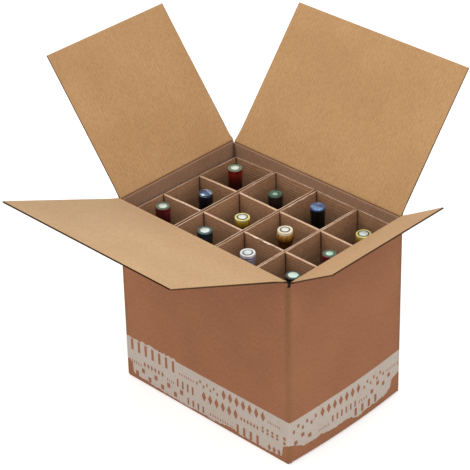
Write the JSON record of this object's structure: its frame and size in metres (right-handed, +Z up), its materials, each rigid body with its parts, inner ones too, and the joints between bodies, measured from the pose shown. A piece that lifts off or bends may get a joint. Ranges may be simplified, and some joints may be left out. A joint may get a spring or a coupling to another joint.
{
  "type": "bottle shipping box",
  "caption": "Tall corrugated shipping box for bottles, standing open, with a folded divider insert and sealed bottles in its cells.",
  "frame": {"origin": "middle of the carton's underside, on the surface that it stands on", "axes": "+Z up, +X along the carton's long side towards the short top flap, +Y along its short side"},
  "size_m": [0.7016, 0.7635, 0.6264],
  "materials": {
    "outer_board": "matte",
    "flap_board": "matte",
    "insert_board": "matte",
    "bottle_glass": "gloss"
  },
  "bodies": {
    "carton": {"carton": "outer_board", "column_sleeve_1": "insert_board", "column_sleeve_2": "insert_board", "column_sleeve_3": "insert_board", "column_sleeve_4": "insert_board", "cross_web_1_1": "insert_board", "cross_web_1_2": "insert_board", "cross_web_2_1": "insert_board", "cross_web_2_2": "insert_board", "cross_web_3_1": "insert_board", "cross_web_3_2": "insert_board", "cross_web_4_1": "insert_board", "cross_web_4_2": "insert_board", "bottle_1_1": "bottle_glass", "bottle_1_2": "bottle_glass", "bottle_1_3": "bottle_glass", "bottle_2_1": "bottle_glass", "bottle_2_2": "bottle_glass", "bottle_2_3": "bottle_glass", "bottle_3_1": "bottle_glass", "bottle_3_2": "bottle_glass", "bottle_3_3": "bottle_glass", "bottle_4_1": "bottle_glass", "bottle_4_2": "bottle_glass", "bottle_4_3": "bottle_glass"},
    "flap_back_left": {"flap_back_left": "flap_board"},
    "flap_back_right": {"flap_back_right": "flap_board"},
    "flap_front_left": {"flap_front_left": "flap_board"},
    "flap_front_right": {"flap_front_right": "flap_board"}
  },
  "joints": [
    {"name": "flap_back_left_fold", "type": "hinge", "parent": "carton", "child": "flap_back_left", "pos_m": [-0.2132, 0, 0.3902], "axis": [0, 1, 0], "range_deg": [-140.5, 127.5]},
    {"name": "flap_back_right_fold", "type": "hinge", "parent": "carton", "child": "flap_back_right", "pos_m": [0, 0.1542, 0.3863], "axis": [1, 0, 0], "range_deg": [-139.5, 128.5]},
    {"name": "flap_front_left_fold", "type": "hinge", "parent": "carton", "child": "flap_front_left", "pos_m": [0, -0.1542, 0.3941], "axis": [-1, 0, 0], "range_deg": [-111, 157]},
    {"name": "flap_front_right_fold", "type": "hinge", "parent": "carton", "child": "flap_front_right", "pos_m": [0.2132, 0, 0.3902], "axis": [0, -1, 0], "range_deg": [-119, 149]}
  ]
}
